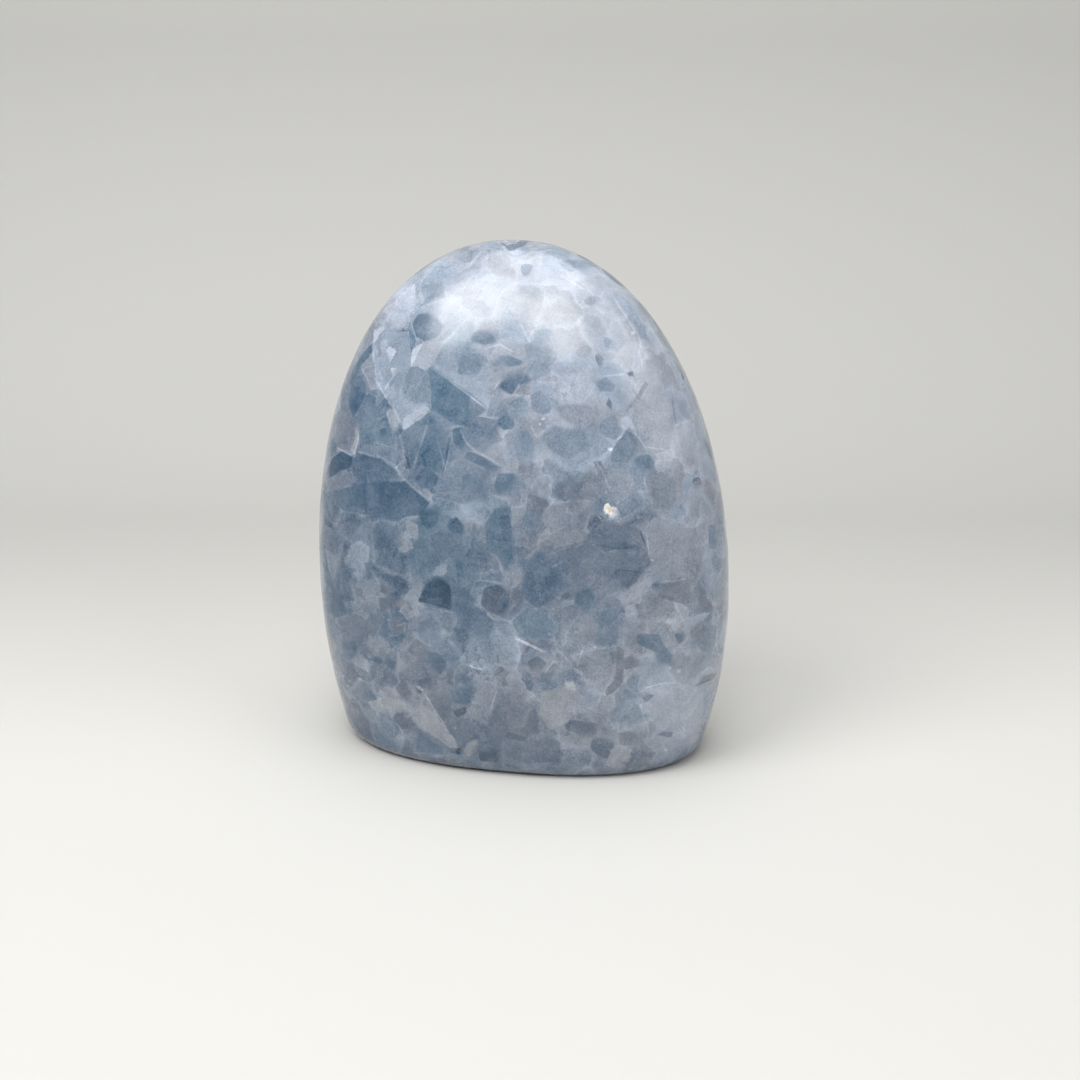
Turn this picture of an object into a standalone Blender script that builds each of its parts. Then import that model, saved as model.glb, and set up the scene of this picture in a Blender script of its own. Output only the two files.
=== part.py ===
"""Blue calcite freeform: one upright, egg-shaped, polished stone that stands on a ground flat.

The skin is an egg with slightly squared outlines, raised and sunk by a few broad swells.
Its foot is ground flat with a rounded edge, and small cleavage nicks break the polish.
Lengths are in metres and angles in degrees. +Z is up and -Y is the front.
"""

import math

import bmesh
import bpy
from mathutils import Matrix, Vector

NAME = "calcite_freeform"

# Driving dimensions of the egg
HEIGHT = 0.100
WIDTH = 0.082
THICKNESS = 0.046
WIDEST_HEIGHT = 0.0318
LOWER_REACH = 0.0665
LEAN = 0.0139
FOOT_ROUNDING = 0.003

# Exponents of the outlines: 2 is a plain ellipse, and more is squarer
CROWN_SQUARENESS = 2.08
PLAN_SQUARENESS = 2.23

# Hand-polished swells: name, longitude, latitude, lift, spread
SWELLS = (
    ("right shoulder", 0.0, 35.0, 0.0002, 0.12),
    ("right flank", 0.0, 0.0, 0.00035, 0.12),
    ("left front of the crown", 220.0, 62.0, -0.0014, 0.12),
    ("right front of the crown", -40.0, 62.0, 0.0009, 0.12),
    ("left of the crown", 180.0, 60.0, 0.0015, 0.12),
    ("left flank", 180.0, -12.0, -0.00085, 0.12),
    ("flatter back", 90.0, 15.0, -0.0008, 0.30),
)

# Cleavage nicks: name, longitude, latitude, depth, tilt of the corner, turn about it
NICKS = (
    ("glinting nick", -59.5, 18.5, 0.0007, 18.0, 20.0),
    ("dark nick", -41.5, 42.2, 0.0006, 15.0, 75.0),
    ("bright-rimmed nick", -110.5, -13.1, 0.0007, 20.0, 45.0),
    ("foot nick", -100.5, -24.0, 0.0008, 10.0, 100.0),
    ("flake nick", -82.0, -2.6, 0.0005, 26.0, 5.0),
    ("side nick", 6.0, 12.0, 0.0006, 15.0, 60.0),
    ("back crown nick", 71.0, 40.0, 0.0007, 20.0, 30.0),
    ("back nick", 112.0, 4.0, 0.0006, 12.0, 85.0),
)

# Calcite cleaves into rhombs: each edge stands this far from the axis of a blunt corner
CLEAVAGE_EDGE_ANGLE = 63.7
RHOMB_EDGE = 0.006

# Mesh fineness
SEGMENTS = 80
RINGS = 44
FOOT_RINGS = 4

# Finish
STONE_BLUE = (0.26, 0.31, 0.37, 1.0)
STONE_ROUGHNESS = 0.18


def clear_scene():
    for item in list(bpy.data.objects):
        bpy.data.objects.remove(item, do_unlink=True)


def new_collection(name):
    collection = bpy.data.collections.new(name)
    bpy.context.scene.collection.children.link(collection)
    return collection


def signed_power(value, exponent):
    return math.copysign(abs(value) ** exponent, value)


def direction(longitude, latitude):
    """Unit vector at a longitude and latitude in radians."""
    across = math.cos(latitude)
    return Vector((across * math.cos(longitude), across * math.sin(longitude), math.sin(latitude)))


def swell_lift(heading):
    """Sum of the swells: each fades as a bell curve with the angle from its middle."""
    lift = 0.0
    for _, longitude, latitude, height, spread in SWELLS:
        middle = direction(math.radians(longitude), math.radians(latitude))
        lift += height * math.exp((heading.dot(middle) - 1.0) / spread)
    return lift


def skin_point(longitude, latitude):
    """Point of the polished skin at a longitude and latitude in radians."""
    upper = latitude >= 0.0
    reach = HEIGHT - WIDEST_HEIGHT if upper else LOWER_REACH
    bend = 2.0 / CROWN_SQUARENESS if upper else 1.0
    girth = abs(math.cos(latitude)) ** bend
    rise = reach * signed_power(math.sin(latitude), bend)
    point = Vector((
        WIDTH / 2 * girth * signed_power(math.cos(longitude), 2.0 / PLAN_SQUARENESS),
        THICKNESS / 2 * girth * signed_power(math.sin(longitude), 2.0 / PLAN_SQUARENESS),
        rise,
    ))

    # Swells push along the normal, but only sideways below the widest height
    outward = Vector((point.x / (WIDTH / 2) ** 2, point.y / (THICKNESS / 2) ** 2, rise / reach ** 2))
    outward.normalize()
    outward.z = max(outward.z, 0.0)
    point += outward * swell_lift(direction(longitude, latitude))
    point.z += WIDEST_HEIGHT

    # The foot's edge curves in to the ground flat, and the whole egg leans to -X
    short_of_side = max(FOOT_ROUNDING - point.z, 0.0)
    inset = FOOT_ROUNDING - math.sqrt(max(FOOT_ROUNDING ** 2 - short_of_side ** 2, 0.0))
    radius = math.hypot(point.x, point.y)
    if radius > inset:
        point.x *= 1.0 - inset / radius
        point.y *= 1.0 - inset / radius
    point.x -= LEAN * point.z
    return point


def ring_latitude(ring):
    """Latitude of a ring: close together round the foot's edge, then evenly to the top."""
    if ring <= FOOT_RINGS:
        quarter_turn = math.pi / 2 * ring / FOOT_RINGS
        height = FOOT_ROUNDING * (1.0 - math.cos(quarter_turn))
        return -math.asin((WIDEST_HEIGHT - height) / LOWER_REACH)
    start = ring_latitude(FOOT_RINGS)
    share = (ring - FOOT_RINGS) / (RINGS - 1 - FOOT_RINGS)
    return start + (math.pi / 2 - start) * share


def stone_mesh():
    """A UV sphere drawn onto the skin. Its lowest pole becomes the middle of the ground flat."""
    shape = bmesh.new()
    bmesh.ops.create_uvsphere(shape, u_segments=SEGMENTS, v_segments=RINGS, radius=1.0)
    for vertex in shape.verts:
        longitude = math.atan2(vertex.co.y, vertex.co.x)
        ring = round((math.asin(max(-1.0, min(1.0, vertex.co.z))) / math.pi + 0.5) * RINGS)
        if ring == 0:
            vertex.co = Vector((0.0, 0.0, 0.0))
        elif ring == RINGS:
            vertex.co = skin_point(0.0, math.pi / 2)
        else:
            vertex.co = skin_point(longitude, ring_latitude(ring - 1))
    mesh = bpy.data.meshes.new(NAME)
    shape.to_mesh(mesh)
    shape.free()
    mesh.shade_smooth()
    mesh.set_sharp_from_angle(angle=math.radians(35.0))
    return mesh


def box_middle(mesh):
    """Middle of the mesh's box in plan, at the height of the ground flat."""
    across = [vertex.co.x for vertex in mesh.vertices]
    deep = [vertex.co.y for vertex in mesh.vertices]
    return Vector(((min(across) + max(across)) / 2, (min(deep) + max(deep)) / 2, 0.0))


def calcite_material():
    material = bpy.data.materials.new("polished_blue_calcite")
    material.use_nodes = True
    shader = material.node_tree.nodes["Principled BSDF"]
    shader.inputs["Base Color"].default_value = STONE_BLUE
    shader.inputs["Roughness"].default_value = STONE_ROUGHNESS
    shader.inputs["Metallic"].default_value = 0.0
    return material


def skin_frame(longitude, latitude):
    """Point of the skin with its outward normal and the direction that runs round the stone."""
    step = math.radians(0.5)
    point = skin_point(longitude, latitude)
    around = skin_point(longitude + step, latitude) - skin_point(longitude - step, latitude)
    upward = skin_point(longitude, latitude + step) - skin_point(longitude, latitude - step)
    around.normalize()
    return point, around.cross(upward).normalized(), around


def rhomb_cutter(nick, centre, collection):
    """A cleavage rhomb whose blunt corner reaches below the skin and cuts a three-sided nick."""
    name, longitude, latitude, depth, tilt, turn = nick
    point, outward, around = skin_frame(math.radians(longitude), math.radians(latitude))
    axis = Matrix.Rotation(math.radians(tilt), 3, around) @ outward
    across = axis.orthogonal().normalized()
    spread = math.sin(math.radians(CLEAVAGE_EDGE_ANGLE))
    climb = math.cos(math.radians(CLEAVAGE_EDGE_ANGLE))
    edges = []
    for third in range(3):
        spin = Matrix.Rotation(math.radians(turn + 120.0 * third), 3, axis)
        edges.append((spin @ across * spread + axis * climb) * RHOMB_EDGE)
    corner = point - outward * depth - centre

    # A cube with its corner at the origin is sheared so that its edges become the rhomb's
    shape = bmesh.new()
    bmesh.ops.create_cube(shape, size=1.0)
    for vertex in shape.verts:
        shares = vertex.co + Vector((0.5, 0.5, 0.5))
        vertex.co = corner + edges[0] * shares.x + edges[1] * shares.y + edges[2] * shares.z
    mesh = bpy.data.meshes.new(name)
    shape.to_mesh(mesh)
    shape.free()
    cutter = bpy.data.objects.new(name, mesh)
    cutter.hide_render = True
    cutter.display_type = "WIRE"
    collection.objects.link(cutter)
    return cutter


def main():
    clear_scene()
    parts = new_collection("blue_calcite_freeform")
    cutters = new_collection("nick_cutters")

    mesh = stone_mesh()
    centre = box_middle(mesh)
    mesh.transform(Matrix.Translation(-centre))
    mesh.materials.append(calcite_material())
    stone = bpy.data.objects.new(NAME, mesh)
    parts.objects.link(stone)

    for nick in NICKS:
        cut = stone.modifiers.new(nick[0], "BOOLEAN")
        cut.operation = "DIFFERENCE"
        cut.solver = "EXACT"
        cut.object = rhomb_cutter(nick, centre, cutters)


main()
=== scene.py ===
import math

import bpy
import numpy as np
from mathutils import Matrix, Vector


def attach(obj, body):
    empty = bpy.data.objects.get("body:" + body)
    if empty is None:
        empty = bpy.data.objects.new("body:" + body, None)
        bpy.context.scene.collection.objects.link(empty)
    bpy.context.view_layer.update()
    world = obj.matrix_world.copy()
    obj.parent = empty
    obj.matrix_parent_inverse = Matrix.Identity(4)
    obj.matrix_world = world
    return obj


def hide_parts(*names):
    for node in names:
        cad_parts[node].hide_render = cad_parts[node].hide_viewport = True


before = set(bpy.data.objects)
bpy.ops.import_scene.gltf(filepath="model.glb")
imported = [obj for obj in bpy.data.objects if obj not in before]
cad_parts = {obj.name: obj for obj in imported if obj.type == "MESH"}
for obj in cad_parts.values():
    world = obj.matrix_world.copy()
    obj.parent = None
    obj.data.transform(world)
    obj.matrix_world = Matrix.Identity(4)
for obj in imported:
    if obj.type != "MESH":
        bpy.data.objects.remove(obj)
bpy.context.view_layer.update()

NODE = "calcite_freeform"
MM = 0.001

# The egg, with the sizes of its solid
HEIGHT = 100.0 * MM
WIDTH = 82.0 * MM
THICKNESS = 46.0 * MM
WIDEST_HEIGHT = 31.8 * MM
LOWER_REACH = 66.5 * MM
LEAN = 0.0139
FOOT_ROUNDING = 3.0 * MM

# Exponents of the outlines: 2 is a plain ellipse, and more is squarer
CROWN_SQUARENESS = 2.08
PLAN_SQUARENESS = 2.23

# Hand-polished swells: name, longitude, latitude, lift, spread
SWELLS = (
    ("right shoulder", 0.0, 35.0, 0.2 * MM, 0.12),
    ("right flank", 0.0, 0.0, 0.35 * MM, 0.12),
    ("left front of the crown", 220.0, 62.0, -1.4 * MM, 0.12),
    ("right front of the crown", -40.0, 62.0, 0.9 * MM, 0.12),
    ("left of the crown", 180.0, 60.0, 1.5 * MM, 0.12),
    ("left flank", 180.0, -12.0, -0.85 * MM, 0.12),
    ("flatter back", 90.0, 15.0, -0.8 * MM, 0.30),
)

# Cleavage nicks: name, longitude, latitude, depth, tilt of the corner, turn about it
NICKS = (
    ("glinting nick", -59.5, 18.5, 0.7 * MM, 18.0, 20.0),
    ("dark nick", -41.5, 42.2, 0.6 * MM, 15.0, 75.0),
    ("bright-rimmed nick", -110.5, -13.1, 0.7 * MM, 20.0, 45.0),
    ("foot nick", -100.5, -24.0, 0.8 * MM, 10.0, 100.0),
    ("flake nick", -82.0, -2.6, 0.5 * MM, 26.0, 5.0),
    ("side nick", 6.0, 12.0, 0.6 * MM, 15.0, 60.0),
    ("back crown nick", 71.0, 40.0, 0.7 * MM, 20.0, 30.0),
    ("back nick", 112.0, 4.0, 0.6 * MM, 12.0, 85.0),
)
CLEAVAGE_EDGE_ANGLE = 63.7
NICK_SPAN = 5.0 * MM
NICK_SOFTNESS = 0.10 * MM

# Waves that hand polishing leaves in the skin: how many, the lengths, and the depth of each
POLISH_WAVES = 14
SHORTEST_WAVE = 5.0 * MM
LONGEST_WAVE = 16.0 * MM
WAVE_DEPTH = 0.008 * MM

# Mesh fineness: the columns and rings come closer at the front and at the nicks
COLUMNS = 430
BODY_RINGS = 218
FLAT_RINGS = 10
FRONT_CLOSENESS = 0.35
NICK_CLOSENESS = 1.5
NICK_REACH = 2.0

# Camera, in the frame of the photograph
PHOTO_SIZE = 1080
VIEW_AZIMUTH = 11.3
VIEW_ELEVATION = 18.0
VIEW_DISTANCE = 330.0 * MM
FIELD_OF_VIEW = 35.69
LOOK_AT = np.array([3.41, 1.05, 41.58]) * MM
SENSOR_WIDTH = 36.0

# Tones of the grains as the eye sees them: 0 is black and 1 is white
TONES = {
    "ink": 0.32,
    "deep": 0.37,
    "dark": 0.405,
    "dusk": 0.44,
    "mid": 0.485,
    "soft": 0.54,
    "pale": 0.60,
    "milk": 0.68,
    "white": 0.84,
}

# Hues of the grains, as places on the stone's ramp of tints
HUES = {"ochre": 0.2, "cream": 0.3, "mauve": 0.46, "lilac": 0.55, "blue": 0.78, "teal": 0.93}

# Tints along the ramp at half of even brightness, for dark grains and for pale ones
DARK_TINTS = (
    (0.0, (0.60, 0.50, 0.36)),
    (0.1, (0.457, 0.50, 0.545)),
    (0.2, (0.418, 0.50, 0.608)),
    (0.4, (0.389, 0.50, 0.688)),
    (0.55, (0.353, 0.50, 0.738)),
    (0.78, (0.300, 0.50, 0.795)),
    (1.0, (0.266, 0.50, 0.785)),
)
PALE_TINTS = (
    (0.0, (0.57, 0.50, 0.42)),
    (0.1, (0.534, 0.50, 0.468)),
    (0.2, (0.459, 0.50, 0.556)),
    (0.4, (0.452, 0.50, 0.585)),
    (0.55, (0.438, 0.50, 0.600)),
    (0.78, (0.409, 0.50, 0.620)),
    (1.0, (0.382, 0.50, 0.617)),
)
TINT_SCALE = 2.0
BASE_GAIN = 0.985

# What the gloss adds everywhere, taken off the colour so that dark grains stay blue
GLOSS_VEIL = 0.031

# Mean sizes of the large and the small grains under the polish
BIG_GRAIN = 8.0 * MM
SMALL_GRAIN = 4.0 * MM

# How the grains are laid on the skin
PIXEL = VIEW_DISTANCE * 2 * math.tan(math.radians(FIELD_OF_VIEW) / 2) / PHOTO_SIZE
LEAST_FACING = 0.10
GRAIN_SHEETS = 7
GRAIN_REACH = 1.6 * MM
GRAIN_GAP = 0.1 * MM
BARE = -20.0 * MM
LINE_SHEETS = 4
LINE_REACH = 1.0 * MM
LINE_GAP = 1.8 * MM
NO_LINE = 60.0

# Grains of the hidden sides, scattered by chance
SCATTERED_GRAINS = 330
SCATTER_SEED = 12
SCATTERED_LINES = 110

# Widths of the grains' borders, how far they differ round a grain, and the most of its depth
SHARD_SOFTNESS = 0.70 * MM
CRISP_SOFTNESS = 0.17 * MM
SOFTNESS_SPREAD = 1.1
GREATEST_SOFT_SHARE = 0.3

# Broad zones of the front: name, shift of tone and of hue, middle and reach in photo pixels. Most are the stone's own
# broad tone and hue; some are painted light, as marked below
ZONES = (
    # painted highlight: the crown lighter, and the two lobes of the highlight lighter and warmer, where the softboxes
    # shine on it
    ("crown", 0.075, -0.01, 515, 295, 150, 80),
    ("left lobe of the highlight", 0.045, -0.27, 466, 294, 30, 20),
    ("right lobe of the highlight", 0.045, -0.14, 550, 303, 40, 20),
    ("top", -0.05, 0.0, 530, 246, 50, 14),
    ("belt", -0.035, 0.03, 500, 580, 190, 80),
    # the left half and the left flank: partly the stone's own bluer tone, partly painted shade on the side away from
    # the light
    ("left half", -0.038, 0.12, 390, 460, 90, 120),
    ("left flank", -0.06, 0.06, 340, 530, 40, 130),
    ("centre-left blue", -0.02, 0.10, 440, 570, 50, 70),
    ("right shoulder", 0.065, -0.06, 605, 360, 110, 90),
    ("upper right rim", 0.05, 0.0, 690, 390, 40, 70),
    ("pale middle", 0.04, -0.05, 560, 465, 90, 45),
    ("pale seam", 0.10, -0.04, 465, 515, 26, 36),
    # painted light: the right flank lighter, on the side that the light falls on
    ("right flank", 0.06, -0.04, 700, 540, 40, 130),
    ("storm", -0.05, -0.04, 590, 570, 70, 50),
    ("mauve foot", 0.02, -0.04, 500, 670, 190, 70),
    ("foot hollow", -0.08, 0.05, 480, 725, 60, 45),
    ("left foot", -0.03, 0.0, 390, 740, 70, 25),
    ("right foot", 0.09, 0.03, 680, 715, 75, 60),
)

# Studio: the paper sweeps up behind the stone
STAGE_REACH = 1.3
SWEEP_START = 0.15
SWEEP_RADIUS = 0.13
SWEEP_STEPS = 33
PAPER_COLOUR = (0.485, 0.485, 0.469)
# painted shade: the paper is painted darker from just in front of the stone backwards, over the far floor and the wall
PAINTED_PAPER_SHADE = 0.21
SHADE_START = -0.02
SHADE_END = 0.15
LIGHT_COLOUR = (1.0, 0.985, 0.97)
SKY_COLOUR = (0.93, 0.95, 1.0, 1.0)
SKY_STRENGTH = 0.37

# Soft lights: name, azimuth, elevation, distance and size in metres, power in watts
SOFT_LIGHTS = (
    ("left_softbox", -42.0, 46.5, 0.75, 0.46, 3.95),
    ("right_softbox", 8.0, 44.0, 0.7, 0.38, 1.65),
    ("overhead_softbox", 0.0, 88.0, 0.5, 0.5, 2.2),
    ("right_fill", 70.0, 28.0, 0.8, 0.7, 2.2),
)

# Grains that stand out in the photo: name, two tones and a hue, corners in photo pixels
SHARDS = (
    # beds of broad tone, for the grains laid on them
    ("storm bed", "mid dusk lilac", 519, 578, 524, 566, 533, 555, 545, 551, 558, 547, 585, 542, 592, 530, 606, 522, 627, 523, 640, 529, 647, 545, 648, 565, 642, 577, 628, 588, 613, 593, 595, 607, 587, 615, 575, 617, 557, 613, 533, 608, 523, 597),
    ("teal bed", "dusk dusk teal", 410, 520, 440, 512, 462, 520, 476, 545, 480, 580, 476, 606, 458, 614, 428, 610, 413, 590, 408, 552),
    ("foot bed", "mid dusk lilac", 424, 700, 450, 686, 480, 690, 500, 716, 520, 735, 512, 764, 470, 762, 440, 745),
    ("blade bed", "soft mid blue crisp", 372, 343, 387, 331, 409, 331, 411, 366, 433, 385, 431, 399, 430, 409, 404, 429, 394, 409, 383, 393, 376, 380, 374, 360),    # upper left: the fields first, then the grains on them
    ("slate right of the blade", "mid mid blue", 406, 366, 418, 366, 426, 371, 433, 385, 431, 399, 420, 403, 410, 396, 404, 380),
    ("blade", "pale pale blue crisp", 372, 343, 376, 346, 380, 362, 385, 376, 390, 389, 399, 370, 399, 385, 405, 398, 418, 404, 430, 408, 415, 420, 403, 429, 394, 409, 383, 393, 376, 380, 374, 360),
    ("blue field", "mid mid teal", 366, 392, 380, 388, 387, 406, 386, 422, 397, 432, 395, 448, 377, 443, 361, 442, 359, 426, 358, 414),
    ("field below the slab", "dusk dusk blue", 382, 460, 394, 469, 406, 480, 378, 481, 358, 481, 356, 473, 370, 471),
    ("lens field", "mid dusk blue", 445, 470, 464, 455, 492, 473, 490, 500, 462, 505, 440, 496, 434, 486),
    ("round spot", "deep dark blue crisp", 412, 323, 418, 314, 428, 313, 438, 318, 443, 325, 441, 333, 436, 338, 425, 341, 416, 337),
    ("shard under the spot", "pale soft lilac crisp", 412, 350, 424, 341, 443, 341, 441, 353, 431, 366, 425, 371, 418, 366, 411, 366),
    ("bright facet", "milk milk lilac crisp", 412, 349, 424, 342, 416, 357, 411, 366),
    ("flat-topped slab", "soft soft blue crisp", 386, 332, 409, 331, 411, 348, 411, 366, 402, 386, 397, 400, 392, 380, 391, 360, 388, 345),
    ("block over the slab", "milk pale lilac", 387, 313, 396, 311, 407, 313, 409, 329, 389, 330),
    ("block by the rim", "milk milk lilac", 386, 311, 400, 291, 414, 283, 418, 300, 414, 313, 400, 311),
    ("dark strip at the rim", "dark dark blue", 372, 343, 373, 352, 365, 362, 358, 378, 352, 392, 346, 398, 348, 380, 356, 364, 364, 352),
    ("lilac sliver", "soft soft lilac crisp", 361, 367, 369, 357, 371, 350, 373, 363, 375, 380, 378, 389, 371, 388, 367, 377),
    ("sliver in the blade", "pale soft blue crisp", 380, 356, 386, 352, 389, 364, 393, 378, 386, 384, 379, 371, 376, 360),
    ("bright tooth", "milk milk lilac crisp", 386, 348, 390, 346, 397, 351, 390, 362),
    ("bright tooth 2", "pale pale lilac crisp", 379, 341, 386, 340, 386, 349, 383, 356),
    ("bright tooth 3", "milk pale lilac crisp", 373, 331, 383, 323, 387, 327, 380, 334, 374, 343),
    ("bright tooth 4", "milk pale cream crisp", 390, 368, 396, 369, 393, 376),
    ("blade tip", "milk pale lilac crisp", 404, 430, 402, 420, 412, 413, 430, 407, 422, 418, 412, 424),
    ("pale wedge", "soft pale blue crisp", 432, 366, 441, 370, 456, 374, 472, 378, 487, 388, 491, 402, 487, 409, 472, 398, 449, 378),
    ("dark wedge", "dusk dusk teal crisp", 428, 368, 432, 366, 452, 382, 471, 396, 469, 408, 472, 418, 464, 427, 452, 423, 440, 415,
     431, 409, 431, 392),
    ("mauve by the wedge", "mid dusk blue", 472, 398, 487, 410, 481, 415, 474, 417, 471, 424, 469, 408),
    ("dark left cell", "dusk dark blue", 356, 370, 363, 371, 367, 384, 364, 398, 358, 411, 353, 417, 349, 405, 347, 392, 350, 381),
    ("lilac cell", "mid mid mauve crisp", 340, 414, 347, 409, 355, 418, 359, 432, 358, 444, 354, 455, 350, 450, 338, 450, 335, 438, 336, 425),
    ("rim of the lilac cell", "pale pale cream crisp", 356, 424, 359, 434, 358, 445, 354, 455, 351, 450, 355, 440),
    ("black-blue cell", "ink deep blue crisp", 332, 458, 342, 451, 353, 457, 353, 467, 340, 471, 329, 480, 328, 469),
    ("pale cell below it", "mid soft lilac crisp", 327, 480, 340, 473, 353, 470, 356, 483, 338, 491, 328, 490),
    ("blue bar", "dusk dusk blue", 358, 455, 370, 456, 382, 459, 378, 468, 368, 471, 360, 465),
    ("grey slab", "soft mid blue crisp", 357, 451, 366, 443, 378, 443, 396, 449, 404, 458, 394, 469, 382, 459, 370, 456),
    ("angular lilac", "pale pale lilac crisp", 386, 410, 394, 408, 401, 415, 402, 423, 397, 431, 390, 429, 388, 419),
    ("spot by the pane", "dark dark teal", 378, 430, 385, 427, 389, 433, 381, 437),
    ("cell at the wedge", "mid soft blue", 500, 417, 485, 417, 489, 407, 490, 396, 503, 399, 511, 405),
    ("left pane", "mid dusk blue", 402, 431, 420, 420, 429, 415, 423, 438, 416, 459, 411, 471, 406, 455, 402, 443),
    ("right pane", "dusk dark teal", 429, 417, 441, 424, 452, 430, 451, 443, 448, 458, 441, 475, 434, 471, 420, 466, 417, 458, 423, 438),
    ("teal wedge by the pane", "dark dark teal", 452, 428, 463, 427, 465, 440, 470, 450, 461, 452, 453, 442),
    ("blue foot of the panes", "dusk dark blue", 414, 468, 428, 467, 439, 477, 435, 487, 421, 489, 412, 479),
    ("great dark patch", "dusk dark blue crisp", 334, 491, 356, 485, 376, 480, 406, 481, 415, 490, 430, 503, 421, 515, 406, 517, 394, 522,
     370, 516, 344, 511, 335, 503),
    ("core of the dark patch", "deep dark blue", 378, 482, 406, 482, 411, 490, 409, 501, 397, 509, 384, 502, 376, 492),
    # middle
    ("dark bar under the web", "dark dark blue", 468, 451, 482, 456, 500, 467, 498, 473, 484, 468, 464, 458),
    ("small tooth", "dusk dusk teal crisp", 494, 423, 506, 409, 515, 419, 514, 429, 504, 430),
    ("deep bead", "dark dark teal", 489, 430, 494, 428, 497, 434, 494, 439, 489, 437),
    ("dark eye", "deep dark blue", 498, 387, 506, 376, 514, 372, 524, 370, 533, 379, 528, 384, 518, 385, 512, 395, 504, 391),
    ("milky pane", "pale pale lilac", 552, 373, 572, 366, 592, 372, 596, 384, 585, 402, 568, 405, 556, 398),
    ("jagged mauve cell", "dusk mid mauve", 553, 494, 556, 482, 561, 480, 574, 484, 582, 476, 591, 468, 598, 477, 608, 490, 598, 498, 584, 500, 560, 500),
    ("blue cell by it", "dusk dusk lilac", 528, 499, 534, 494, 545, 498, 550, 505, 541, 513, 527, 512),
    ("upper blue cell", "dusk mid blue", 594, 381, 606, 377, 616, 385, 614, 392, 600, 391),
    ("dark wedge right", "dark mid blue", 629, 427, 641, 440, 647, 453, 634, 457, 628, 463, 611, 463, 611, 453, 617, 442),
    ("dark oval", "dusk dusk teal", 632, 457, 641, 455, 649, 454, 656, 463, 652, 470, 644, 472, 635, 466),
    ("slate column", "dusk mid mauve", 528, 492, 547, 501, 540, 532, 523, 536),
    ("mauve bar", "dusk mid mauve", 593, 461, 601, 461, 611, 481, 607, 486, 600, 478),
    ("mauve wisp", "mid dusk mauve", 530, 550, 570, 520, 598, 499, 593, 513, 570, 536, 542, 555),
    ("storm crest", "dusk dusk lilac", 591, 529, 612, 522, 630, 536, 646, 546, 644, 554, 626, 552, 600, 549, 590, 541),
    ("storm pocket", "dark dark mauve", 612, 569, 640, 571, 640, 580, 627, 589, 616, 580),
    ("storm cell", "mid dusk lilac", 570, 569, 588, 562, 602, 569, 602, 587, 588, 597, 572, 587),
    ("upper web cell", "mid soft blue", 512, 399, 524, 395, 528, 409, 520, 425, 510, 417),
    ("upper web cell 2", "soft soft blue", 534, 381, 548, 385, 550, 399, 538, 407, 530, 395),
    ("great pale slab", "soft mid lilac", 645, 448, 636, 434, 631, 420, 632, 405, 641, 394, 652, 384, 665, 383, 672, 400, 675, 422, 670, 450, 656, 454),
    ("dark cell right", "mid mid lilac", 655, 481, 668, 475, 676, 481, 677, 500, 670, 511, 656, 509, 650, 495),
    ("flank sliver", "pale mid blue", 612, 290, 622, 292, 640, 318, 652, 345, 640, 337, 629, 318),
    # lower left
    ("blunt blade", "dark dark blue", 341, 572, 345, 567, 350, 577, 352, 590, 356, 601, 346, 601, 342, 590),
    ("rim blade", "deep deep teal", 329, 600, 333, 584, 338, 590, 343, 600, 347, 615, 337, 618, 328, 612),
    ("lower dark drift", "dusk dusk lilac", 337, 619, 350, 614, 366, 613, 380, 608, 384, 620, 377, 633, 368, 645, 352, 660, 343, 650),
    ("pale chip", "soft pale blue", 345, 561, 350, 546, 360, 540, 370, 548, 369, 561, 362, 575, 355, 577, 349, 570),
    ("pale chip 2", "mid mid lilac", 353, 606, 360, 597, 377, 606, 373, 612, 366, 618, 357, 614),
    ("teal drop", "deep deep teal", 418, 512, 428, 507, 440, 510, 438, 524, 428, 530, 421, 524),
    ("deep drop", "deep deep blue crisp", 446, 526, 450, 519, 457, 517, 464, 526, 463, 534, 452, 533),
    ("pale tooth", "pale soft blue", 431, 576, 437, 566, 447, 563, 446, 573, 440, 578),
    ("darkest grain", "ink ink blue crisp", 418, 602, 419, 598, 423, 591, 426, 583, 433, 578, 441, 578, 450, 585, 453, 597, 452, 611, 446, 609, 430, 604),
    ("striped mauve", "dusk mid mauve", 388, 620, 408, 618, 411, 634, 392, 634),
    ("teal column", "dark dusk teal", 495, 508, 512, 506, 513, 522, 516, 542, 515, 562, 505, 571, 497, 556, 486, 550, 485, 524),
    ("core of the column", "deep dark blue", 500, 516, 509, 514, 513, 532, 512, 547, 502, 544),
    ("dark heart", "dusk dark blue", 528, 562, 538, 551, 551, 556, 563, 565, 563, 590, 551, 600, 538, 609, 525, 600, 521, 588),
    ("core of the heart", "deep dark blue", 541, 576, 555, 573, 557, 590, 549, 600, 540, 598),
    ("round dark cell", "deep deep mauve", 484, 588, 498, 584, 507, 590, 512, 600, 510, 612, 503, 621, 492, 616, 480, 605),
    ("core of the round cell", "deep deep blue", 500, 596, 509, 598, 509, 607, 502, 609),
    ("teal grain", "dusk dark blue", 450, 590, 466, 589, 477, 600, 463, 610, 452, 612),
    ("teal strip", "dark dusk teal", 455, 558, 462, 562, 467, 584, 458, 588),
    ("pale pillar", "soft mid lilac", 510, 568, 521, 565, 524, 574, 518, 585, 509, 590, 505, 580),
    ("upper storm band", "dark dusk lilac", 600, 545, 614, 541, 631, 542, 645, 548, 646, 554, 628, 550, 604, 552),
    ("lower storm band", "dark dusk lilac", 612, 572, 620, 568, 643, 572, 640, 577, 628, 588, 617, 578),
    ("blue-grey slab", "soft soft lilac", 660, 581, 652, 576, 649, 552, 644, 529, 655, 517, 672, 520, 690, 526, 703, 532, 706, 548, 691, 562, 690, 578, 675, 581),
    ("dark crown", "dusk mid mauve crisp", 657, 598, 661, 584, 675, 582, 690, 578, 691, 590, 699, 603, 682, 604, 668, 600),
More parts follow.
